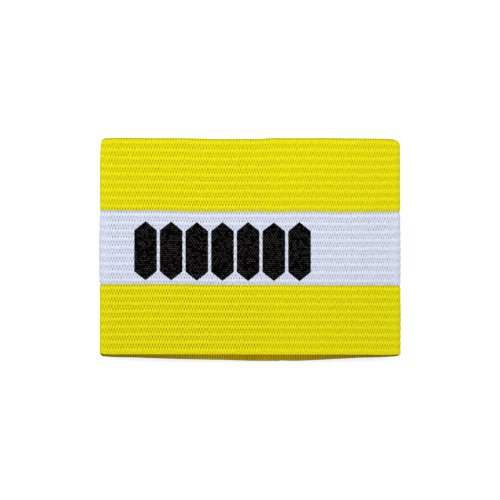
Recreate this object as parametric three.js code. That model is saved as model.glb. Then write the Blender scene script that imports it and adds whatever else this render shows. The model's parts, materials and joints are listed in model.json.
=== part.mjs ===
// A stretch armband: a wide loop of ribbed elastic in three colour stripes, lying flat on a table.
// Millimetres. X runs along the flattened loop, Y across the band and Z up from the table.
import * as THREE from "three";

// The band as cut
const bandWidth = 80;
const wall = 1.35; // through a pair of rib crests
const grooveDepth = 0.28; // between ribs, on the outside
const innerGroove = 0.2; // between ribs, on the inside
const borderGroove = 0.42; // where two colours meet
const stripeGap = 0.3;

// The loop as it lies, seen from its open side
const flatLength = 108.9; // from fold to fold, outside
const foldRadius = 2.1; // outside of each fold
const riseAngle = THREE.MathUtils.degToRad(6); // how much the back layer lifts towards each fold
const riseLength = 16;
const archAngle = THREE.MathUtils.degToRad(6.5); // slope of the front layer where it leaves a fold

// The lap that closes the loop, in the back layer
const lapStart = 2.2; // cut end of the inner layer
const lapEnd = 10.8; // cut end of the outer layer
const lapRamp = 5; // where the inner layer climbs over that end
const cutSlope = 0.1; // lean of a cut end

// How the layers bow towards the near edge, and how the band leans
const frontBow = 0.75;
const backBow = 1.65;
const lean = 0.2; // drop of the right fold, and rise of the left one

// How far each corner of the band is drawn in at its fold
const cornerPull = [
  { edge: "far", fold: "left", pull: 0.45 },
  { edge: "far", fold: "right", pull: 1.0 },
  { edge: "near", fold: "left", pull: 0.35 },
  { edge: "near", fold: "right", pull: 0.35 },
];
const pullLength = 10.5; // along the band, up to the fold
const pullRibs = 2.5; // across the band, in from the edge

// Where a rib's crest begins and ends, as shares of the rib's pitch
const crestStart = 0.22;
const crestEnd = 0.78;

// From the far edge to the near one
const stripes = [
  { name: "upper_stripe", width: 26.9, ribs: 9, colour: 0xe6dc12 },
  { name: "centre_stripe", width: 27.1, ribs: 9, colour: 0xd3dbe8 },
  { name: "lower_stripe", width: 26.0, ribs: 9, colour: 0xe2d911 },
];

// How many steps each stretch of the loop takes
const steps = { flat: 2, rise: 2, fold: 8, arch: 12 };

const half = wall / 2;
const foldMiddle = foldRadius - half; // radius of the wall's middle line in a fold
const foldStart = flatLength / 2 - foldRadius + foldMiddle * Math.sin(riseAngle);
const flatEnd = foldStart - riseLength;
const riseRadius = riseLength / Math.sin(riseAngle);
const archRadius =
  (foldStart - foldMiddle * Math.sin(riseAngle)) / Math.sin(archAngle) + foldMiddle;

// A place on the wall's middle line, with its heading and how far the two faces stand off it.
function station(x, z, heading, outer = half, inner = half) {
  return { x, z, heading, outer, inner };
}

// Stations along an arc that turns left about a centre, without its first one.
function arc(from, radius, turn, count) {
  const centreX = from.x - radius * Math.sin(from.heading);
  const centreZ = from.z + radius * Math.cos(from.heading);
  return Array.from({ length: count }, (_, i) => {
    const heading = from.heading + (turn * (i + 1)) / count;
    return station(
      centreX + radius * Math.sin(heading),
      centreZ - radius * Math.cos(heading),
      heading,
    );
  });
}

// The stretch that lies on the table, where the two cut ends overlap and are sewn into one.
function backLayer() {
  const lap = [
    { x: lapStart - cutSlope, outer: half, inner: half },
    { x: lapStart, outer: half, inner: half + wall },
    { x: lapEnd, outer: half, inner: half + wall },
    { x: lapEnd + cutSlope, outer: half - wall, inner: half + wall },
    { x: lapEnd + lapRamp, outer: half, inner: half },
  ];
  const leftEnd = lap[0].x;
  const rightEnd = lap[lap.length - 1].x;
  const left = [];
  const right = [];
  for (let i = 0; i < steps.flat; i++) {
    const share = i / steps.flat;
    left.push(station(THREE.MathUtils.lerp(-flatEnd, leftEnd, share), half, 0));
    right.push(station(THREE.MathUtils.lerp(flatEnd, rightEnd, share), half, 0));
  }
  const sewn = lap.map((row) => station(row.x, half, 0, row.outer, row.inner));
  return [...left, ...sewn, ...right.reverse()];
}

// All stations once round, from the left end of the back layer, over both folds and back.
function loopStations() {
  const stations = backLayer();
  const last = () => stations[stations.length - 1];
  stations.push(...arc(last(), riseRadius, riseAngle, steps.rise));
  const foldTurn = Math.PI - riseAngle - archAngle;
  stations.push(...arc(last(), foldMiddle, foldTurn, steps.fold));
  stations.push(...arc(last(), archRadius, 2 * archAngle, steps.arch));
  stations.push(...arc(last(), foldMiddle, foldTurn, steps.fold));
  stations.push(...arc(last(), riseRadius, riseAngle, steps.rise));
  stations.pop(); // the loop closes on its first station
  return stations;
}

const loop = loopStations();
const archTop = Math.max(...loop.map((s) => s.z));

// How far a station's slice of the band is shifted across: both layers bow towards the near edge.
function bowAndLean(s) {
  const height = (s.z - half) / (archTop - half);
  const bow = THREE.MathUtils.lerp(backBow, frontBow, height);
  const along = s.x / (flatLength / 2);
  return -bow * (1 - along * along) - lean * along;
}

// How far a point is drawn in from its edge by the corner next to it.
function drawnIn(edge, s, ribsFromEdge) {
  const fold = s.x < 0 ? "left" : "right";
  const { pull } = cornerPull.find((row) => row.edge === edge && row.fold === fold);
  const along = Math.max(0, 1 - (flatLength / 2 - Math.abs(s.x)) / pullLength);
  const across = Math.max(0, 1 - ribsFromEdge / pullRibs);
  return pull * along ** 2 * across ** 2;
}

// One station's closed outline across a stripe: the outer face's ribs, then the inner face's ribs back.
function slice(s, far, near, stripe, borders) {
  const pitch = (far - near) / stripe.ribs;
  const towardsOutside = [Math.sin(s.heading), -Math.cos(s.heading)];
  const shift = bowAndLean(s);
  const points = [];
  const add = (share, standOff) => {
    const fromFar = borders.far ? 0 : drawnIn("far", s, share);
    const fromNear = borders.near ? 0 : drawnIn("near", s, stripe.ribs - share);
    points.push(
      new THREE.Vector3(
        s.x + towardsOutside[0] * standOff,
        far - share * pitch + shift - fromFar + fromNear,
        s.z + towardsOutside[1] * standOff,
      ),
    );
  };
  const grooveAt = (rib) => {
    const atBorder = (rib === 0 && borders.far) || (rib === stripe.ribs && borders.near);
    return atBorder ? borderGroove : grooveDepth;
  };
  for (let rib = 0; rib < stripe.ribs; rib++) {
    add(rib, s.outer - grooveAt(rib));
    add(rib + crestStart, s.outer);
    add(rib + crestEnd, s.outer);
  }
  add(stripe.ribs, s.outer - grooveAt(stripe.ribs));
  for (let rib = stripe.ribs; rib > 0; rib--) {
    add(rib, innerGroove - s.inner);
    add(rib - 0.5, -s.inner);
  }
  add(0, innerGroove - s.inner);
  return points;
}

// A stripe: its slices all round the loop, joined into one closed skin.
function stripeGeometry(far, near, stripe, borders) {
  const slices = loop.map((s) => slice(s, far, near, stripe, borders));
  const around = slices[0].length;
  const positions = slices.flat().flatMap((p) => [p.x, p.y, p.z]);
  const index = [];
  for (let i = 0; i < slices.length; i++) {
    const here = i * around;
    const next = ((i + 1) % slices.length) * around;
    for (let j = 0; j < around; j++) {
      const k = (j + 1) % around;
      index.push(here + j, next + j, here + k);
      index.push(here + k, next + j, next + k);
    }
  }
  const geometry = new THREE.BufferGeometry();
  geometry.setAttribute("position", new THREE.Float32BufferAttribute(positions, 3));
  geometry.setIndex(index);
  geometry.computeVertexNormals();
  return geometry;
}

function stripeMesh(stripe, far, borders) {
  const near = far - stripe.width;
  const farEdge = far - (borders.far ? stripeGap / 2 : 0);
  const nearEdge = near + (borders.near ? stripeGap / 2 : 0);
  const mesh = new THREE.Mesh(
    stripeGeometry(farEdge, nearEdge, stripe, borders),
    new THREE.MeshStandardMaterial({ color: stripe.colour, roughness: 0.85, metalness: 0 }),
  );
  mesh.name = stripe.name;
  return mesh;
}

const armband = new THREE.Group();
let edge = bandWidth / 2;
stripes.forEach((stripe, i) => {
  const borders = { far: i > 0, near: i < stripes.length - 1 };
  armband.add(stripeMesh(stripe, edge, borders));
  edge -= stripe.width;
});

// The origin is under the middle of the whole band's box.
const box = new THREE.Box3().setFromObject(armband, true);
armband.position.y = -(box.min.y + box.max.y) / 2;

export default armband;
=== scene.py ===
import json
import math

import bpy
import numpy as np
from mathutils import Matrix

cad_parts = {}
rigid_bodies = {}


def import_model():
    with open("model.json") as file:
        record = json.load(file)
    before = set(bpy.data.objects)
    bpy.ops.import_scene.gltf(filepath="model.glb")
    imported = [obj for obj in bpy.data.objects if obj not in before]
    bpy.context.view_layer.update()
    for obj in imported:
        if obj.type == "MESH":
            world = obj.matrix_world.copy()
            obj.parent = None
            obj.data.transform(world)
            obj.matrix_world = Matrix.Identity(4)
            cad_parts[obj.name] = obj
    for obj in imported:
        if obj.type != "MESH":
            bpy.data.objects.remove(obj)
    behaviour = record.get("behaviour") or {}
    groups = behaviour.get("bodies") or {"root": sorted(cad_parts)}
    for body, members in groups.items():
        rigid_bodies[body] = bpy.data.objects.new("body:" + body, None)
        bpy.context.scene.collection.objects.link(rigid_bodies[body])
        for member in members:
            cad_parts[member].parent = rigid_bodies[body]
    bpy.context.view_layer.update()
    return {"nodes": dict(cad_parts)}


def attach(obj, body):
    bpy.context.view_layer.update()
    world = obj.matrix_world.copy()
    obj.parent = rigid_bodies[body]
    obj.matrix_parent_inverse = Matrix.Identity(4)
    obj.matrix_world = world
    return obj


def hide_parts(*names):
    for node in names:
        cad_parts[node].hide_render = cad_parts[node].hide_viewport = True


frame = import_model()
print("frame loaded with", len(frame["nodes"]), "nodes")

mm = 0.001

# The loop of elastic as it lies on the table, in millimetres
band = {
    "width": 80.0,
    "wall": 1.35,
    "flatLength": 110.1,  # from fold to fold
    "foldRadius": 2.1,
    "riseAngle": 6.0,  # degrees the back layer lifts towards each fold
    "riseLength": 16.0,
    "archAngle": 6.5,  # degrees of the front layer where it leaves a fold
    "lapStart": 2.2,  # cut end of the inner layer
    "lapEnd": 10.8,  # cut end of the outer layer
    "lapRamp": 5.0,
    "lapGap": 0.03,
    "stitchRows": (4.2, 8.8),  # places along the band
    "stitchBite": 0.17,  # how far a row of stitches draws the cloth in
    "biteWidth": 0.7,
    "lapProud": 0.24,  # the inner layer's end reaches a little past the outer one's near edge
    "frontBow": 0.75,
    "backBow": 1.5,
    "lean": 0.2,
    "ridgeAt": 6.4,  # soft crease in the front layer, over the lap
    "ridgeHeight": 0.2,
    "ridgeWidth": 5.5,
}

# How far each corner is drawn in at its fold
cornerPull = {
    ("far", "left"): 0.45,
    ("far", "right"): 1.0,
    ("near", "left"): 0.35,
    ("near", "right"): 0.35,
}
cornerRadius = {
    ("far", "left"): 1.05,
    ("far", "right"): 1.9,
    ("near", "left"): 0.9,
    ("near", "right"): 0.9,
}
pullLength = 10.5  # how far from the fold a corner starts to draw in
pullRibs = 2.5  # and over how many ribs

# How the front's edges and colour borders wander as the band lies, from the far edge to the near one:
# place along X, shift across, both in millimetres
frontDrift = (
    {-54: 0.25, -25: 0.27, -9: -0.03, 0: 0.1, 3: -0.02, 8: 0.38, 26: 0.52, 46: 0.3, 54: 0.36},
    {-54: 0.17, -34: 0.29, -18: -0.1, -9: 0.02, 3: 0.03, 8: -0.17, 16: 0.13, 25: 0.18, 31: 0, 54: 0.11},
    {-54: -0.12, -48: 0, -34: 0.25, -10: 0.06, 20: 0.06, 46: 0.03, 54: -0.14},
    {-54: -0.02, -44: 0.27, -30: 0.36, -12: 0.42, 8: 0.37, 30: 0.5, 42: 0.47, 54: 0.2},
)
backDrift = {-54: -0.4, -42: 0.2, -10: 0.28, 0: 0, 18: -0.08, 30: 0.28, 40: 0.5, 54: 0.1}  # near edge

# How the folds wander: place across from the far edge, shift along X, both in millimetres.
# The shift grows from nothing to all of it over foldReach, from the band's middle outwards.
leftFoldDrift = {0: 0.36, 5: 0.1, 9: 0, 20: 0.03, 24: 0.12, 27: 0, 32: -0.1, 40: -0.25, 50: -0.15, 58: 0.1}
rightFoldDrift = {0: 0.1, 2: -0.08, 9: 0, 26: 0, 42: 0.12, 52: 0.06, 58: -0.02, 64: 0.08, 80: -0.05}
foldReach = (44, 54)

# From the far edge to the near one
stripes = [
    {"name": "upper_stripe", "width": 26.9, "slot": "yellow_elastic"},
    {"name": "centre_stripe", "width": 27.2, "slot": "white_elastic"},
    {"name": "lower_stripe", "width": 25.9, "slot": "yellow_elastic"},
]

# The weave: relief and picks in millimetres, places and widths across a rib as shares of its pitch
weave = {
    "ribs": 9,  # in each stripe
    "grooveDepth": 0.2,
    "grooveSharpness": 1.2,
    "borderDepth": 0.42,
    "borderReach": 0.4,
    "nearGroove": 0.25,  # share of its depth that the groove at the near selvedge keeps
    "innerDepth": 0.16,
    "innerHoles": 0.5,  # the holes on the inner face, against the outer one's
    "pitDepth": 0.3,  # holes beside each groove
    "pitPlace": 0.185,
    "pitWidth": 0.085,
    "pitSharpness": 1.5,
    "pitShift": 0.035,  # both lines of holes lie a little to the near side
    "relaxedPits": 0.75,
    "stretchedPits": 0.6,  # what stretching adds
    "pitChance": (0.75, 1.25),
    "foldPits": 0.35,  # the folds pull the holes shut
    "foldCalm": 5,  # how far from a fold's end they do, in millimetres
    "selvedgeCalm": (0.1, 0.6),
    "floatRise": 0.06,  # yarn ends that stand up between the holes
    "crestStreak": 0.05,
    "crestFrom": 0.15,
    "crestWidth": 0.7,
    "binderRise": 0.05,  # zigzag yarn along the bottom of a groove
    "binderSway": 0.06,
    "binderWidth": 0.05,
    "pickRelaxed": 0.905,
    "pickStretched": 1.005,  # left half of the front layer
    "creaseBlend": 4,  # the change from one to the other, to both sides of the crease
    "foldBlend": 2,
    "wander": 0.05,  # in picks, how far they drift
    "wanderPicks": 9,  # over so many picks
    "ripple": 0.045,  # in picks, from rib to rib
    "edgeBulge": 0.16,
    "edgeWave": 0.35,  # the weft's turns along a selvedge, as a share of the bulge
    "borderBulge": 0.2,  # what is left of the bulge where two stripes meet
    "stripeGap": 0.1,
    "rowsOutside": (0, 0.07, 0.13, 0.2, 0.28, 0.42, 0.58, 0.72, 0.8, 0.88),
    "rowsInside": (0, 0.2, 0.5, 0.8),
    "seed": 7,
}


def smoothStep(low, high, value):
    t = np.clip((value - low) / (high - low), 0, 1)
    return t * t * (3 - 2 * t)


def arcPoints(x, z, heading, radius, turn, step=0.05):
    count = max(2, int(abs(turn) * radius / step))
    angles = heading + turn * np.arange(1, count + 1) / count
    cx, cz = x - radius * math.sin(heading), z + radius * math.cos(heading)
    return cx + radius * np.sin(angles), cz - radius * np.cos(angles)


# The middle line of the wall, from the inner cut end over both folds to the outer cut end.
def laidPath():
    half = band["wall"] / 2
    foldMiddle = band["foldRadius"] - half
    rise, arch = math.radians(band["riseAngle"]), math.radians(band["archAngle"])
    foldStart = band["flatLength"] / 2 - band["foldRadius"] + foldMiddle * math.sin(rise)
    flatEnd = foldStart - band["riseLength"]
    riseRadius = band["riseLength"] / math.sin(rise)
    archRadius = (foldStart - foldMiddle * math.sin(rise)) / math.sin(arch) + foldMiddle
    foldTurn = math.pi - rise - arch
    lapTop = half + band["wall"] + band["lapGap"]

    x = np.arange(band["lapStart"], flatEnd, 0.05)
    down = smoothStep(band["lapEnd"], band["lapEnd"] + band["lapRamp"], x)
    z = lapTop + (half - lapTop) * down
    xs, zs = [x], [z]
    heading = 0.0
    for radius, turn in (
        (riseRadius, rise),
        (foldMiddle, foldTurn),
        (archRadius, 2 * arch),
        (foldMiddle, foldTurn),
        (riseRadius, rise),
    ):
        x, z = arcPoints(xs[-1][-1], zs[-1][-1], heading, radius, turn)
        xs.append(x)
        zs.append(z)
        heading += turn
    archX = xs[3]
    crease = (archX - band["ridgeAt"]) / band["ridgeWidth"]
    zs[3] = zs[3] + band["ridgeHeight"] * np.exp(-(crease**2))
    x = np.arange(xs[-1][-1] + 0.05, band["lapEnd"], 0.05)
    xs.append(x)
    zs.append(np.full_like(x, half))
    x, z = np.concatenate(xs), np.concatenate(zs)
    s = np.concatenate([[0], np.cumsum(np.hypot(np.diff(x), np.diff(z)))])
    lengths = [len(part) for part in xs]
    ends = np.cumsum(lengths)
    marks = {
        "rightFold": s[ends[1] - 1],
        "frontStart": s[ends[2] - 1],
        "frontEnd": s[ends[3] - 1],
        "leftFold": s[ends[4] - 1],
    }
    return s, x, z, marks


path = dict(zip(("s", "x", "z", "marks"), laidPath()))
path["top"] = path["z"].max()
path["long"] = path["s"][-1]
path["middle"] = (path["marks"]["frontStart"] + path["marks"]["frontEnd"]) / 2
print("strip", round(path["long"], 1), "mm long")


# Picks of weft counted along the strip. They lie further apart where the front is stretched.
def pickCount():
    s, marks = path["s"], path["marks"]
    crease = path["middle"] - band["ridgeAt"]
    stretched = smoothStep(crease - weave["creaseBlend"], crease + weave["creaseBlend"], s)
    blend = weave["foldBlend"]
    stretched *= 1 - smoothStep(marks["frontEnd"] - blend, marks["leftFold"] + blend, s)
    pitch = weave["pickRelaxed"] + (weave["pickStretched"] - weave["pickRelaxed"]) * stretched
    steps = np.diff(s) * (1 / pitch[1:] + 1 / pitch[:-1]) / 2
    return np.concatenate([[0], np.cumsum(steps)]), stretched


path["picks"], path["stretched"] = pickCount()
pickTotal = path["picks"][-1]


# The columns of the strip's mesh: four a pick on the front and the folds, two on the back.
def columns():
    marks, reach = path["marks"], 0.3
    first = round(np.interp(marks["rightFold"], path["s"], path["picks"])) - 1
    last = round(np.interp(marks["leftFold"], path["s"], path["picks"])) + 1
    counts = np.concatenate(
        [np.arange(0, first, 0.5), np.arange(first, last, 0.25), np.arange(last, pickTotal, 0.5)]
    )
    picks = np.append(counts, pickTotal)
    s = np.interp(picks, path["picks"], path["s"])
    x, z = np.interp(s, path["s"], path["x"]), np.interp(s, path["s"], path["z"])
    ahead, behind = np.minimum(s + reach, path["long"]), np.maximum(s - reach, 0)
    dx = np.interp(ahead, path["s"], path["x"]) - np.interp(behind, path["s"], path["x"])
    dz = np.interp(ahead, path["s"], path["z"]) - np.interp(behind, path["s"], path["z"])
    size = np.hypot(dx, dz)
    return {
        "picks": picks,
        "s": s,
        "x": x,
        "z": z,
        "outX": dz / size,
        "outZ": -dx / size,
        "stretched": np.interp(s, path["s"], path["stretched"]),
    }


# How far a place on the band is shifted across, as both layers bow towards the near edge.
def bowAndLean(x, z):
    half = band["wall"] / 2
    height = (z - half) / (path["top"] - half)
    bow = band["backBow"] + (band["frontBow"] - band["backBow"]) * height
    along = x / (band["flatLength"] / 2)
    return -bow * (1 - along**2) - band["lean"] * along


def drawnIn(edge, x, ribsFromEdge):
    pull = np.where(x < 0, cornerPull[edge, "left"], cornerPull[edge, "right"])
    along = np.clip(1 - (band["flatLength"] / 2 - np.abs(x)) / pullLength, 0, None)
    across = np.clip(1 - ribsFromEdge / pullRibs, 0, None)
    radius = np.where(x < 0, cornerRadius[edge, "left"], cornerRadius[edge, "right"])
    toFold = np.clip(band["flatLength"] / 2 - band["wall"] / 2 - np.abs(x), 0, radius)
    rounded = radius - np.sqrt(radius**2 - (radius - toFold) ** 2)
    return (pull * along**3 + rounded) * across**2


def drift(table, place):
    return np.interp(place, list(table), list(table.values()))


# Height of the woven face over its crests, at a place counted in ribs and picks.
def relief(ribs, picks, strength, groove):
    r = np.mod(ribs, 1)
    valley = (0.5 + 0.5 * np.cos(2 * math.pi * r)) ** weave["grooveSharpness"]
    fromGroove = np.where(r < 0.5, r - weave["pitShift"], 1 - r + weave["pitShift"])
    dotLine = np.exp(-(((fromGroove - weave["pitPlace"]) / weave["pitWidth"]) ** 2))
    turn = 2 * math.pi * (picks + np.where(r < 0.5, 0, 0.5))
    hole = (0.5 + 0.5 * np.cos(turn)) ** weave["pitSharpness"]
    slant = 2 * math.pi * (picks + 0.5 * (r - weave["crestFrom"]) / weave["crestWidth"])
    signed = np.where(r < 0.5, r, r - 1)
    binder = (signed + weave["binderSway"] * np.cos(2 * math.pi * picks)) / weave["binderWidth"]
    height = -groove * valley - weave["pitDepth"] * strength * dotLine * hole
    height = height + weave["floatRise"] * dotLine * (0.5 - 0.5 * np.cos(turn))
    height = height - weave["crestStreak"] * (1 - valley) * (0.5 + 0.5 * np.cos(slant))
    height = height + weave["binderRise"] * np.exp(-(binder**2))
    return height


# Where the stitches draw the lap's upper and lower face in.
def stitchBite(line):
    rows = [np.exp(-(((line["x"] - row) / band["biteWidth"]) ** 2)) for row in band["stitchRows"]]
    bite = band["stitchBite"] * sum(rows)
    lap = band["lapEnd"] - band["lapStart"]
    return {"above": bite * (line["s"] < lap), "below": bite * (line["s"] > path["long"] - lap)}


# The rows of a stripe's section: outer face, near edge, inner face, far edge, and the first row again.
def rows():
    ribs = weave["ribs"]
    outside = [i + r for i in range(ribs) for r in weave["rowsOutside"]] + [ribs]
    inside = [i + r for i in range(ribs) for r in weave["rowsInside"]] + [ribs]
    table = [(place, 1.0, place / ribs / 2) for place in outside]
    table += [(ribs, side, 0.5) for side in (0.4, -0.4)]
    table += [(place, -1.0, 1 - place / ribs / 2) for place in reversed(inside)]
    table += [(0, side, 1.0) for side in (-0.4, 0.4)]
    table += [(0, 1.0, 1.0)]
    return np.array(table).T  # place in ribs, side from inner -1 to outer 1, v


def deselectAll():
    if bpy.context.object and bpy.context.object.mode != "OBJECT":
        bpy.ops.object.mode_set(mode="OBJECT")
    bpy.ops.object.select_all(action="DESELECT")


def gridPiece(name, countX, countY):
    deselectAll()
    bpy.ops.mesh.primitive_grid_add(x_subdivisions=countX - 1, y_subdivisions=countY - 1, size=1)
    piece = bpy.context.object
    piece.name = piece.data.name = name
    return piece


def setUv(piece, layerName, u, v):
    mesh = piece.data
    corner = np.zeros(len(mesh.loops), np.int32)
    mesh.loops.foreach_get("vertex_index", corner)
    layer = mesh.uv_layers.get(layerName) or mesh.uv_layers.new(name=layerName)
    layer.data.foreach_set("uv", np.stack([u[corner], v[corner]], axis=1).ravel())


insideMark = 9  # the asLaid map's place across on the whole inner face


# One stripe: a strip of elastic cut to length and laid round the loop, its ends lapped.
def makeStripe(order, farEdge, middleY):
    stripe = stripes[order]
    atFar, atNear = order == 0, order == len(stripes) - 1
    line, (place, side, v) = columns(), rows()
    across, along = len(place), len(line["s"])
    piece = gridPiece(stripe["name"] + "_cloth", along, across)
    far = farEdge - (0 if atFar else weave["stripeGap"] / 2)
    near = farEdge - stripe["width"] + (0 if atNear else weave["stripeGap"] / 2)
    pitch = (far - near) / weave["ribs"]

    random = np.random.default_rng([weave["seed"], len(bpy.data.objects)])
    x, z = line["x"][None, :], line["z"][None, :]
    picks, place, side = line["picks"][None, :], place[:, None], side[:, None]
    ribs = weave["ribs"]
    knots = np.arange(0, pickTotal + weave["wanderPicks"], weave["wanderPicks"])
    slowPhase = np.interp(line["picks"], knots, random.normal(0, weave["wander"], len(knots)))
    ripple = random.normal(0, weave["ripple"], (ribs + 1, along))
    ripple = ripple[np.clip(np.round(place[:, 0]), 0, ribs).astype(int)]
    phase = picks + slowPhase[None, :] + ripple
    frontStart, frontEnd = path["marks"]["frontStart"], path["marks"]["frontEnd"]
    fromFold = np.minimum(np.abs(line["s"] - frontStart), np.abs(line["s"] - frontEnd))
    calm = weave["foldPits"] + (1 - weave["foldPits"]) * smoothStep(0, weave["foldCalm"], fromFold)
    strength = (weave["relaxedPits"] + weave["stretchedPits"] * line["stretched"]) * calm
    strength = strength[None, :] * random.uniform(*weave["pitChance"], (across, along))
    fromSelvedge = np.minimum(np.where(atFar, place, ribs), np.where(atNear, ribs - place, ribs))
    strength *= smoothStep(*weave["selvedgeCalm"], fromSelvedge)

    ribPhase = np.where(side > 0, place, 2 * ribs - place)
    reach = weave["borderReach"]
    atBorder = ((place < reach) & (not atFar)) | ((place > ribs - reach) & (not atNear))
    groove = np.where(atBorder, weave["borderDepth"], weave["grooveDepth"])
    kept = weave["nearGroove"] + (1 - weave["nearGroove"]) * smoothStep(0, 0.5, ribs - place)
    groove = groove * np.where(atNear, kept, 1)
    outer = relief(ribPhase, phase, strength, groove)
    inner = relief(ribPhase, phase, weave["innerHoles"] * strength, weave["innerDepth"])
    bite = stitchBite(line)
    outer, inner = outer - bite["below"], inner - bite["above"]
    half = band["wall"] / 2
    standOff = np.where(side > 0, (half + outer) * side, (half + inner) * side)

    selvedge = 1 - side**2
    bulge = weave["edgeBulge"] * selvedge * (1 + weave["edgeWave"] * np.cos(2 * math.pi * phase))
    outward = np.where(place < 1, 1, -1) * bulge
    atSelvedge = np.where(place < 1, atFar, atNear)
    outward *= atSelvedge * (1 - weave["borderBulge"]) + weave["borderBulge"]
    y = far - place * pitch + bowAndLean(x, z) + outward
    front = smoothStep(-0.8, 0.8, line["outZ"])[None, :]  # 1 where the outer face looks up
    share = place / ribs
    y = y + front * (1 - share) * drift(frontDrift[order], x)
    y = y + front * share * drift(frontDrift[order + 1], x)
    if atFar:
        y = y - drawnIn("far", x, place)
    if atNear:
        overLap = line["s"] < band["lapEnd"] - band["lapStart"] + 2 * band["lapRamp"]
        lifted = np.where(overLap, (z - half) / (band["wall"] + band["lapGap"]), 0)
        wander = drift(backDrift, x) - band["lapProud"] * lifted
        y = y + drawnIn("near", x, ribs - place) + (1 - front) * share * wander
    fromFar = band["width"] / 2 - far + place * pitch
    foldDrift = np.where(x < 0, drift(leftFoldDrift, fromFar), drift(rightFoldDrift, fromFar))
    x = x + smoothStep(*foldReach, np.abs(x)) * foldDrift + line["outX"] * standOff
    points = np.stack([x, y - middleY, z + line["outZ"] * standOff], axis=2)
    piece.data.vertices.foreach_set("co", (points * mm).astype(np.float32).ravel())
    u = np.tile(line["picks"] / pickTotal, across)
    setUv(piece, "UVMap", u, np.repeat(v, along))
    asLaid = np.tile((path["middle"] - line["s"]) / band["flatLength"] + 0.5, across)
    shares = np.where(side[:, 0] > 0, order + place[:, 0] / ribs, insideMark)
    setUv(piece, "asLaid", asLaid, np.repeat(shares, along))
    closeWall(piece)
    return piece


# Welds the section's last row to its first and fills the two cut ends.
def closeWall(piece):
    bpy.context.view_layer.objects.active = piece
    bpy.ops.object.mode_set(mode="EDIT")
    bpy.ops.mesh.select_all(action="SELECT")
    bpy.ops.mesh.remove_doubles(threshold=0.0001 * mm)
    bpy.ops.mesh.select_all(action="SELECT")
    bpy.ops.mesh.fill_holes(sides=0)
    bpy.ops.mesh.select_all(action="SELECT")
    bpy.ops.mesh.normals_make_consistent(inside=False)
    bpy.ops.object.mode_set(mode="OBJECT")
    bpy.ops.object.shade_smooth_by_angle(angle=math.radians(70))


def bandMiddle():
    x, z = path["x"], path["z"]
    shift = bowAndLean(x, z)
    far = band["width"] / 2 + shift - drawnIn("far", x, 0)
    near = -band["width"] / 2 + shift + drawnIn("near", x, 0)
    return (far.max() + near.min()) / 2


def newMaterial(name):
    material = bpy.data.materials.new(name)
    material.use_nodes = True
    nodes, links = material.node_tree.nodes, material.node_tree.links
    return material, nodes, links, nodes["Principled BSDF"]


# Makes Math nodes in a tree: numbers or sockets go in, a socket comes out.
def calculator(tree):
    def calc(operation, *values, clamp=False):
        node = tree.nodes.new("ShaderNodeMath")
        node.operation, node.use_clamp = operation, clamp
        for socket, value in zip(node.inputs, values):
            if isinstance(value, (int, float)):
                socket.default_value = value
            else:
                tree.links.new(value, socket)
        return node.outputs[0]

    return calc


def ramp(tree, low, high, value):
    node = tree.nodes.new("ShaderNodeMapRange")
    node.interpolation_type = "SMOOTHSTEP"
    node.inputs["From Min"].default_value = low
    node.inputs["From Max"].default_value = high
    tree.links.new(value, node.inputs["Value"])
    return node.outputs["Result"]


# How the weave shows in the yarns' colour, with painted shade in the holes and grooves and painted
# highlights on the floats; places and widths across a rib as shares of its pitch
dots = {
    "line": 0.112,  # half the width of a line of dots
    "sharpness": 3.4,
    "floatSharpness": 2.0,
    "chance": (0.7, 0.6),  # what chance adds to a dot, and the least one
    "upperFainter": 0.2,  # the line on a groove's far side shows less
    "grooveSpan": (-0.05, 0.34),
    "grooveRoughness": 0.12,
    "streakSlant": 0.7,
    "fibres": (4.0, 2.5),  # in a pick, in a rib
    "lowerStripe": 1.25,  # the lower stripe is woven a little more open
    "atFolds": (0.6, 0.4),  # what the dots lose towards a fold, and what stays
}
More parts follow.
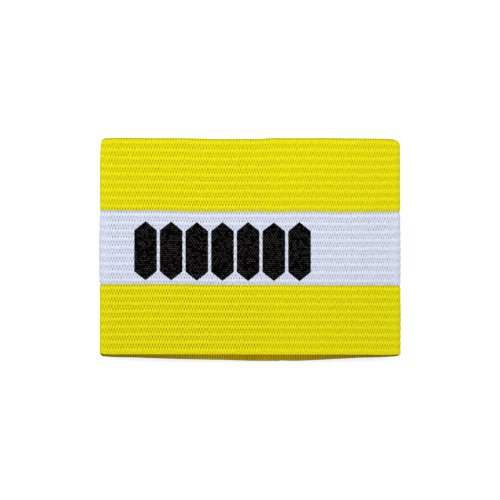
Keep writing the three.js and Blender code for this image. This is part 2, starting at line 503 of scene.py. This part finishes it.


# Node group that both colours share: where the holes, floats and grooves of the weave lie, and so where
# their painted shade and highlights go.
def weaveGroup():
    tree = bpy.data.node_groups.new("ribbedWeave", "ShaderNodeTree")
    for name in ("Picks", "Ribs", "Strength"):
        tree.interface.new_socket(name, in_out="INPUT", socket_type="NodeSocketFloat")
    for name in ("Holes", "Floats", "Groove", "Streak", "Fibre"):
        tree.interface.new_socket(name, in_out="OUTPUT", socket_type="NodeSocketFloat")
    given, out = tree.nodes.new("NodeGroupInput"), tree.nodes.new("NodeGroupOutput")
    picks, ribs, strength = (given.outputs[name] for name in ("Picks", "Ribs", "Strength"))
    calc = calculator(tree)

    def vector(*values):
        node = tree.nodes.new("ShaderNodeCombineXYZ")
        for socket, value in zip(node.inputs, values):
            tree.links.new(value, socket)
        return node.outputs["Vector"]

    r = calc("FRACT", ribs)
    upperSide = calc("GREATER_THAN", r, 0.5)
    way = calc("MULTIPLY_ADD", upperSide, -2.0, 1.0)
    fromGroove = calc("MULTIPLY_ADD", calc("SUBTRACT", r, weave["pitShift"]), way, upperSide)
    pick = calc("MULTIPLY_ADD", upperSide, 0.5, picks)
    wave = calc("MULTIPLY_ADD", calc("COSINE", calc("MULTIPLY", pick, 2 * math.pi)), 0.5, 0.5)
    offLine = calc("DIVIDE", calc("SUBTRACT", fromGroove, weave["pitPlace"]), dots["line"])
    dotLine = calc("EXPONENT", calc("MULTIPLY", calc("MULTIPLY", offLine, offLine), -1.0))

    uneven = tree.nodes.new("ShaderNodeTexWhiteNoise")
    uneven.noise_dimensions = "3D"
    tree.links.new(vector(calc("ROUND", pick), calc("FLOOR", ribs), upperSide), uneven.inputs["Vector"])
    gain = calc("MULTIPLY_ADD", uneven.outputs["Value"], *dots["chance"])
    gain = calc("MULTIPLY", gain, calc("MULTIPLY_ADD", upperSide, -dots["upperFainter"], 1.0))
    gain = calc("MULTIPLY", gain, strength)
    hole = calc("POWER", wave, dots["sharpness"])
    holes = calc("MULTIPLY", calc("MULTIPLY", dotLine, hole), gain, clamp=True)
    between = calc("POWER", calc("SUBTRACT", 1.0, wave), dots["floatSharpness"])
    floats = calc("MULTIPLY", calc("MULTIPLY", dotLine, between), gain, clamp=True)
    groove = calc("SUBTRACT", 1.0, ramp(tree, *dots["grooveSpan"], fromGroove))

    noise = tree.nodes.new("ShaderNodeTexNoise")
    noise.inputs["Scale"].default_value = 1.0
    noise.inputs["Detail"].default_value = 3.0
    slant = calc("MULTIPLY_ADD", r, dots["streakSlant"], picks)
    streak = calc("COSINE", calc("MULTIPLY", slant, 2 * math.pi))
    streak = calc("MULTIPLY", streak, calc("SUBTRACT", 1.0, dotLine))
    alongFibre = calc("MULTIPLY", slant, dots["fibres"][0])
    acrossFibre = calc("MULTIPLY", ribs, dots["fibres"][1])
    tree.links.new(vector(alongFibre, acrossFibre, calc("FLOOR", ribs)), noise.inputs["Vector"])

    tree.links.new(holes, out.inputs["Holes"])
    tree.links.new(floats, out.inputs["Floats"])
    tree.links.new(groove, out.inputs["Groove"])
    tree.links.new(streak, out.inputs["Streak"])
    tree.links.new(noise.outputs["Fac"], out.inputs["Fibre"])
    return tree


yellowLook = {
    "crest": (0.82, 0.768, 0.0055, 1),
    # painted shade: the grooves darker than the crests
    "groove": (0.755, 0.652, 0.0015, 1),
    # the inner face, warmer than the outer: partly the back of the weave, partly painted shade
    "inside": (0.89, 0.645, 0.003, 1),
    "insideFoldShade": 0.55,  # painted shade on the inner face: how dark it gets towards the folds
    "insideStreak": 0.36,
    # painted shade in the holes
    "hole": (0.215, 0.14, 0.0, 1),
    # painted highlight on the yarn ends that stand up
    "float": (1.0, 0.965, 0.018, 1),
    "relaxedDots": 0.88,  # against 1 in the stretched half
    "wall": (0.3, 0.235, 0.001, 1),  # painted shade: the selvedges lie in the shade between the layers
    "streak": 0.07,  # slanting light and dark between the lines of dots
    "farEdge": 0.68,  # the far selvedge turns away from the light
    "nearEdgeHighlight": 1.26,  # painted highlight: the weft's turns along the near selvedge catch more light
    "farBorderShade": 0.84,  # painted shade on the first yarns after a change of colour
    "nearBorderLight": 1.08,  # painted light on the last yarns before one
    "roughness": 0.78,
}
# The same painted shade and highlights as on the yellow, in the white's colours
whiteLook = {
    "crest": (0.73, 0.78, 0.93, 1),
    "groove": (0.65, 0.7, 0.84, 1),
    "inside": (0.66, 0.71, 0.84, 1),
    "insideFoldShade": 0.8,
    "insideStreak": 0.25,
    "hole": (0.14, 0.16, 0.22, 1),
    "float": (0.88, 0.91, 1.0, 1),
    "relaxedDots": 1.08,
    "wall": (0.42, 0.45, 0.55, 1),
    "streak": 0.07,
    "farEdge": 1.0,
    "nearEdgeHighlight": 1.0,
    "farBorderShade": 0.8,
    "nearBorderLight": 1.16,
    "roughness": 0.78,
}

# The print, a row of long six-sided blocks in black, in millimetres on the front as it lies
printed = {
    "left": -42.8,  # from the middle of the front layer
    "blocks": 7,
    "pitch": 9.36,
    "width": 8.3,
    "top": 3.9,  # from the stripe's far edge
    "height": 22.0,
    "point": 3.4,  # slope at both ends of a block
    "ragged": 0.12,  # how far the ink's edge wanders
    "soft": 0.06,  # and how soft it is, to both sides
    "ink": (0.0004, 0.0003, 0.0003, 1),
    "missed": (0.105, 0.094, 0.094, 1),  # yarn that the ink only stains
    "speckRows": 4,  # in a rib, each with one speck a pick
    "speckRarity": 1.4,
    "speckSharpness": 1.6,
    "gloss": 0.15,  # how much smoother the ink is than the yarn
}

# Spans over which a look changes: along the band as shares of its length from fold to fold, across it in
# stripes from the far edge
spans = {
    "relaxing": (-0.04, 0.06),  # to both sides of the crease
    "dotsAtFold": (0.012, 0.045),
    "dotsAtFar": (0.004, 0.04),
    "dotsAtNear": (0.004, 0.03),
    "nearWall": (3.05, 6.0),  # on its way from the near edge's 3 to the inner face's mark
    "wallLight": (0.1, 0.45),
    "farEdge": (0.0, 0.035),
    "borderStart": (0.0, 0.012),
    "borderEnd": (0.016, 0.04),
    "beforeBorder": (0.965, 0.985),
    "nearEdgeHighlight": (0.0, 0.014),
    "insideFoldShade": (0.08, 0.38),
}
foldAt = 0.505  # a fold's outermost line, from the middle of the front layer
backAt = 0.51  # where the back layer begins
wallLift = 0.22  # how much of the walls' shade the light in the middle takes away


def mixColour(tree, factor, first, second):
    node = tree.nodes.new("ShaderNodeMix")
    node.data_type = "RGBA"
    for socket, value in ((node.inputs[0], factor), (node.inputs[6], first), (node.inputs[7], second)):
        if isinstance(value, (int, float, tuple)):
            socket.default_value = value
        else:
            tree.links.new(value, socket)
    return node.outputs[2]


def uvParts(tree, layerName):
    node = tree.nodes.new("ShaderNodeUVMap")
    node.uv_map = layerName
    parts = tree.nodes.new("ShaderNodeSeparateXYZ")
    tree.links.new(node.outputs["UV"], parts.inputs["Vector"])
    return parts.outputs["X"], parts.outputs["Y"]


# How strongly the dots show. They fade towards the folds and selvedges and in the relaxed half.
def dotStrength(tree, look, alongFront, acrossFront, fromFold):
    calc = calculator(tree)
    crease = 0.5 + band["ridgeAt"] / band["flatLength"]
    before, after = spans["relaxing"]
    relaxed = ramp(tree, crease + before, crease + after, alongFront)
    strength = calc("MULTIPLY_ADD", relaxed, look["relaxedDots"] - 1, 1.0)
    nearFold = calc("MULTIPLY_ADD", ramp(tree, *spans["dotsAtFold"], fromFold), *dots["atFolds"])
    strength = calc("MULTIPLY", strength, nearFold)
    lower = calc("GREATER_THAN", acrossFront, 2.0)
    strength = calc("MULTIPLY", strength, calc("MULTIPLY_ADD", lower, dots["lowerStripe"] - 1, 1.0))
    fromNear = calc("ABSOLUTE", calc("SUBTRACT", float(len(stripes)), acrossFront))
    farSelvedge = ramp(tree, *spans["dotsAtFar"], acrossFront)
    nearSelvedge = ramp(tree, *spans["dotsAtNear"], fromNear)
    return calc("MULTIPLY", strength, calc("MULTIPLY", farSelvedge, nearSelvedge))


# Where shade is painted on the selvedges: both of the back layer's, and the underside of the near one in
# front.
def shadedWalls(tree, v, alongFront, acrossFront, fromFold):
    calc = calculator(tree)
    fromWall = calc("ABSOLUTE", calc("SUBTRACT", calc("ABSOLUTE", calc("SUBTRACT", v, 0.5)), 0.25))
    onWall = calc("SUBTRACT", 1.0, ramp(tree, 0.0, 0.001, calc("SUBTRACT", 0.25, fromWall)))
    behind = calc("GREATER_THAN", calc("ABSOLUTE", calc("SUBTRACT", alongFront, 0.5)), backAt)
    below = ramp(tree, *spans["nearWall"], acrossFront)
    walls = calc("MULTIPLY", onWall, calc("MAXIMUM", behind, below))
    # the layers lie further apart in the middle, and more light comes in
    lit = ramp(tree, *spans["wallLight"], fromFold)
    return calc("MULTIPLY", walls, calc("MULTIPLY_ADD", lit, -wallLift, 1.0))


# Light and dark in the yarns themselves, and the painted shade and light that edges, borders and folds of
# the band add to it.
def yarnToneAndPaintedLight(tree, look, fibre, streak, onInside, acrossFront, fromFold):
    calc = calculator(tree)

    def falling(span, place):
        return calc("SUBTRACT", 1.0, ramp(tree, *spans[span], place))

    streaks = calc("MULTIPLY_ADD", onInside, look["insideStreak"] - look["streak"], look["streak"])
    lightness = calc("MULTIPLY_ADD", streak, streaks, calc("ADD", fibre, 0.5))
    inStripe = calc("FRACT", acrossFront)
    shadeAfterBorder = ramp(tree, *spans["borderStart"], inStripe)
    shadeAfterBorder = calc("MULTIPLY", shadeAfterBorder, falling("borderEnd", inStripe))
    lightBeforeBorder = ramp(tree, *spans["beforeBorder"], inStripe)
    fromNear = calc("ABSOLUTE", calc("SUBTRACT", acrossFront, float(len(stripes))))
    for key, where in (
        ("farEdge", falling("farEdge", acrossFront)),
        ("farBorderShade", calc("MULTIPLY", shadeAfterBorder, calc("GREATER_THAN", acrossFront, 1.0))),
        ("nearBorderLight", calc("MULTIPLY", lightBeforeBorder, calc("LESS_THAN", acrossFront, 2.0))),
        ("nearEdgeHighlight", falling("nearEdgeHighlight", fromNear)),
        ("insideFoldShade", calc("MULTIPLY", onInside, falling("insideFoldShade", fromFold))),
    ):
        lightness = calc("MULTIPLY", lightness, calc("MULTIPLY_ADD", where, look[key] - 1, 1.0))
    return lightness


def elasticMaterial(name, look, weaveTree, stripeWidth=None):
    material, nodes, links, shader = newMaterial(name)
    tree = material.node_tree
    calc = calculator(tree)
    u, v = uvParts(tree, "UVMap")
    alongFront, acrossFront = uvParts(tree, "asLaid")
    fromMiddle = calc("ABSOLUTE", calc("SUBTRACT", alongFront, 0.5))
    fromFold = calc("ABSOLUTE", calc("SUBTRACT", fromMiddle, foldAt))
    pattern = nodes.new("ShaderNodeGroup")
    pattern.node_tree = weaveTree
    picks = calc("MULTIPLY", u, float(pickTotal))
    ribs = calc("MULTIPLY", v, 2.0 * weave["ribs"])
    links.new(picks, pattern.inputs["Picks"])
    links.new(ribs, pattern.inputs["Ribs"])
    strength = dotStrength(tree, look, alongFront, acrossFront, fromFold)
    links.new(strength, pattern.inputs["Strength"])
    holes, floats = pattern.outputs["Holes"], pattern.outputs["Floats"]
    groove, streak, fibre = (pattern.outputs[name] for name in ("Groove", "Streak", "Fibre"))

    onInside = calc("GREATER_THAN", v, 0.5)
    # painted shade in the grooves
    colour = mixColour(tree, groove, look["crest"], look["groove"])
    colour = mixColour(tree, onInside, colour, look["inside"])
    walls = shadedWalls(tree, v, alongFront, acrossFront, fromFold)
    # painted shade on the selvedge walls between the layers
    colour = mixColour(tree, walls, colour, look["wall"])
    shade = nodes.new("ShaderNodeVectorMath")
    shade.operation = "SCALE"
    links.new(colour, shade.inputs[0])
    lightness = yarnToneAndPaintedLight(tree, look, fibre, streak, onInside, acrossFront, fromFold)
    links.new(lightness, shade.inputs["Scale"])
    # painted highlight on the floats, then painted shade in the holes
    colour = mixColour(tree, floats, shade.outputs["Vector"], look["float"])
    colour = mixColour(tree, holes, colour, look["hole"])
    roughness = calc("MULTIPLY_ADD", groove, dots["grooveRoughness"], look["roughness"])
    if stripeWidth:
        ink = inkMask(tree, stripeWidth, alongFront, acrossFront, fibre)
        colour = mixColour(tree, ink, colour, inkColour(tree, picks, ribs))
        roughness = calc("SUBTRACT", roughness, calc("MULTIPLY", ink, printed["gloss"]))
    links.new(colour, shader.inputs["Base Color"])
    links.new(roughness, shader.inputs["Roughness"])
    bump = nodes.new("ShaderNodeBump")
    bump.inputs["Strength"].default_value = 0.5
    bump.inputs["Distance"].default_value = 0.06 * mm
    links.new(calc("SUBTRACT", fibre, holes), bump.inputs["Height"])
    links.new(bump.outputs["Normal"], shader.inputs["Normal"])
    shader.inputs["Specular IOR Level"].default_value = 0.005
    shader.inputs["Sheen Weight"].default_value = 0.002
    shader.inputs["Sheen Roughness"].default_value = 0.5
    return material


# The ink's colour, with specks where the yarns that stand up take less of it, by chance.
def inkColour(tree, picks, ribs):
    calc = calculator(tree)
    rows = calc("MULTIPLY", ribs, float(printed["speckRows"]))
    row = calc("FLOOR", rows)
    place = calc("MULTIPLY_ADD", calc("MODULO", row, 2.0), 0.5, picks)
    cell = tree.nodes.new("ShaderNodeCombineXYZ")
    tree.links.new(calc("FLOOR", place), cell.inputs["X"])
    tree.links.new(row, cell.inputs["Y"])
    chance = tree.nodes.new("ShaderNodeTexWhiteNoise")
    tree.links.new(cell.outputs["Vector"], chance.inputs["Vector"])
    bare = calc("POWER", chance.outputs["Value"], printed["speckRarity"])
    for way in (place, rows):
        wave = calc("COSINE", calc("MULTIPLY", way, 2 * math.pi))
        spot = calc("POWER", calc("MULTIPLY_ADD", wave, -0.5, 0.5), printed["speckSharpness"])
        bare = calc("MULTIPLY", bare, spot)
    return mixColour(tree, bare, printed["ink"], printed["missed"])


# Where the ink lies on the front. Its edges follow the yarns a little.
def inkMask(tree, stripeWidth, alongFront, acrossFront, fibre):
    calc = calculator(tree)
    wander = calc("MULTIPLY", calc("SUBTRACT", fibre, 0.5), 2 * printed["ragged"])
    along = calc("MULTIPLY_ADD", alongFront, band["flatLength"], -band["flatLength"] / 2 - printed["left"])
    cells = calc("DIVIDE", along, printed["pitch"])
    fromMiddle = calc("ABSOLUTE", calc("SUBTRACT", calc("FRACT", cells), 0.5))
    fromMiddle = calc("MULTIPLY_ADD", fromMiddle, printed["pitch"], wander)
    rowMiddle = printed["top"] + printed["height"] / 2
    fromRow = calc("ABSOLUTE", calc("MULTIPLY_ADD", acrossFront, stripeWidth, -rowMiddle - stripeWidth))
    fromRow = calc("ADD", fromRow, wander)
    sloped = calc("MULTIPLY_ADD", fromMiddle, 2 * printed["point"] / printed["width"], fromRow)
    soft = printed["soft"]
    beside = ramp(tree, -soft, soft, calc("SUBTRACT", printed["width"] / 2, fromMiddle))
    within = ramp(tree, -soft, soft, calc("SUBTRACT", printed["height"] / 2, sloped))
    afterLeft = calc("GREATER_THAN", cells, 0.0)
    beforeRight = calc("LESS_THAN", cells, float(printed["blocks"]))
    return calc("MULTIPLY", calc("MULTIPLY", beside, within), calc("MULTIPLY", afterLeft, beforeRight))


# The lock stitches that close the lap, in millimetres
seam = {
    "stitch": 2.5,
    "thread": 0.42,
    "ply": 0.14,
    "sunk": 0.045,
    "margin": 1.4,  # bare cloth at both edges of the band
    "colour": (0.9, 0.86, 0.06, 1),
}


# A stitch is modelled once, as a grain of two twisted plies, and copied along each row.
def makeSeam(middleY):
    deselectAll()
    bpy.ops.mesh.primitive_uv_sphere_add(segments=8, ring_count=6, radius=0.5)
    stitch = bpy.context.object
    mesh = stitch.data
    points = np.zeros(len(mesh.vertices) * 3, np.float32)
    mesh.vertices.foreach_get("co", points)
    points = points.reshape(-1, 3)
    length = points[:, 2].copy()
    around = np.arctan2(points[:, 1], points[:, 0])
    girth = np.hypot(points[:, 0], points[:, 1]) ** 0.5 * 0.5**0.5
    girth = girth * (1 + seam["ply"] * np.cos(2 * around + 7 * length)) * seam["thread"]
    points[:, 0] = girth * np.cos(around)
    points[:, 1] = length * seam["stitch"] * 0.94
    points[:, 2] = girth * np.sin(around) - 0.5 * seam["thread"] * (2 * length) ** 4
    mesh.vertices.foreach_set("co", (points * mm).ravel())
    bpy.ops.object.shade_smooth()
    count = int((band["width"] - 2 * seam["margin"]) / seam["stitch"])
    wall = band["wall"]
    heights = ((2 * wall + band["lapGap"] - seam["sunk"], 1), (seam["sunk"] + band["stitchBite"], -1))
    copies = []
    for row in band["stitchRows"]:
        shift = bowAndLean(np.array(row), np.array(wall / 2)) - middleY
        for height, way in heights:
            for i in range(count):
                y = band["width"] / 2 - seam["margin"] - (i + 0.5) * seam["stitch"] + shift
                copy = stitch.copy()
                copy.data = mesh.copy()
                bpy.context.collection.objects.link(copy)
                copy.location = (row * mm, float(y) * mm, height * mm)
                copy.rotation_euler = (0, 0 if way > 0 else math.pi, 0)
                copies.append(copy)
    bpy.data.objects.remove(stitch)
    deselectAll()
    for copy in copies:
        copy.select_set(True)
    bpy.context.view_layer.objects.active = copies[0]
    bpy.ops.object.join()
    bpy.ops.object.transform_apply(location=True, rotation=True, scale=True)
    piece = bpy.context.object
    piece.name = piece.data.name = "seam_stitches"
    return piece


def threadMaterial():
    material, nodes, links, shader = newMaterial("seamThread")
    tree = material.node_tree
    place = nodes.new("ShaderNodeTexCoord")
    noise = nodes.new("ShaderNodeTexNoise")
    noise.inputs["Scale"].default_value = 2200
    noise.inputs["Detail"].default_value = 2
    links.new(place.outputs["Object"], noise.inputs["Vector"])
    darker = tuple(0.7 * c for c in seam["colour"][:3]) + (1,)
    links.new(mixColour(tree, noise.outputs["Fac"], seam["colour"], darker), shader.inputs["Base Color"])
    bump = nodes.new("ShaderNodeBump")
    bump.inputs["Strength"].default_value = 0.4
    bump.inputs["Distance"].default_value = 0.05 * mm
    links.new(noise.outputs["Fac"], bump.inputs["Height"])
    links.new(bump.outputs["Normal"], shader.inputs["Normal"])
    shader.inputs["Roughness"].default_value = 0.6
    shader.inputs["Sheen Weight"].default_value = 0.1
    return material


middleY = bandMiddle()
stitches = makeSeam(middleY)
stitches.data.materials.clear()
stitches.data.materials.append(threadMaterial())
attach(stitches, "root")
print(stitches.name, len(stitches.data.polygons), "faces")

weaveTree = weaveGroup()
yellow = elasticMaterial("yellowElastic", yellowLook, weaveTree)
white = elasticMaterial("whiteElastic", whiteLook, weaveTree, stripes[1]["width"])
edge = band["width"] / 2
for i, stripe in enumerate(stripes):
    cloth = makeStripe(i, edge, middleY)
    edge -= stripe["width"]
    cloth.data.materials.clear()
    cloth.data.materials.append(white if stripe["slot"] == "white_elastic" else yellow)
    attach(cloth, "root")
    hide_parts(stripe["name"])
    print(cloth.name, len(cloth.data.vertices), "points", len(cloth.data.polygons), "faces")

# The studio: a pale floor, a broad soft lamp over the far side and an even sky
studio = {
    "floor": (0.96, 0.96, 0.96, 1),
    "glow": 0.34,  # the floor is a light table
    "shownGlow": 0.295,  # what it has more in the picture itself, as a white ground does
    "glowColour": (0.84, 0.88, 1.0, 1),
    "lampSize": 0.35,
    "lampPlace": (-0.03, 0.19, 0.38),
    "lampPower": 1.27,
    "sky": (1.0, 1.0, 1.0, 1),
    "skyStrength": 0.45,
    "shownSky": 1.0,
}


def makeStudio():
    deselectAll()
    bpy.ops.mesh.primitive_plane_add(size=12, location=(0, 0, 0))
    floor = bpy.context.object
    floor.name = "floor"
    material, nodes, links, shader = newMaterial("paperFloor")
    shader.inputs["Base Color"].default_value = studio["floor"]
    shader.inputs["Roughness"].default_value = 0.9
    shader.inputs["Specular IOR Level"].default_value = 0.1
    shader.inputs["Emission Color"].default_value = studio["glowColour"]
    seen = nodes.new("ShaderNodeLightPath").outputs["Is Camera Ray"]
    glow = calculator(material.node_tree)("MULTIPLY_ADD", seen, studio["shownGlow"], studio["glow"])
    links.new(glow, shader.inputs["Emission Strength"])
    floor.data.materials.append(material)

    deselectAll()
    bpy.ops.object.light_add(type="AREA", location=studio["lampPlace"])
    lamp = bpy.context.object
    lamp.data.shape = "SQUARE"
    lamp.data.size = studio["lampSize"]
    lamp.data.energy = studio["lampPower"]
    away = lamp.location.normalized()
    lamp.rotation_euler = away.to_track_quat("Z", "Y").to_euler()

    world = bpy.data.worlds.new("sky")
    bpy.context.scene.world = world
    world.use_nodes = True
    back = world.node_tree.nodes["Background"]
    back.inputs["Color"].default_value = studio["sky"]
    seen = world.node_tree.nodes.new("ShaderNodeLightPath").outputs["Is Camera Ray"]
    more = studio["shownSky"] - studio["skyStrength"]
    strength = calculator(world.node_tree)("MULTIPLY_ADD", seen, more, studio["skyStrength"])
    world.node_tree.links.new(strength, back.inputs["Strength"])
    bpy.context.scene.view_settings.view_transform = "Standard"


# The photograph's view: almost straight down, from the near side, through a long lens
shot = {
    "elevation": 80.0,
    "distance": 4.0,
    "pixels": 500,
    "pixelsPerMm": 2.739,  # at the aim point
    "aim": (-0.05, -0.45, 4.0),
}


def makeCamera():
    deselectAll()
    bpy.ops.object.camera_add()
    camera = bpy.context.object
    e = math.radians(shot["elevation"])
    aim = [c * mm for c in shot["aim"]]
    camera.location = (
        aim[0],
        aim[1] - shot["distance"] * math.cos(e),
        aim[2] + shot["distance"] * math.sin(e),
    )
    camera.rotation_euler = (math.pi / 2 - e, 0, 0)
    across = shot["pixels"] / shot["pixelsPerMm"] * mm
    camera.data.lens = camera.data.sensor_width * shot["distance"] / across
    camera.data.clip_start, camera.data.clip_end = 0.1, 20
    bpy.context.scene.camera = camera


makeStudio()
makeCamera()
print("studio and camera ready")
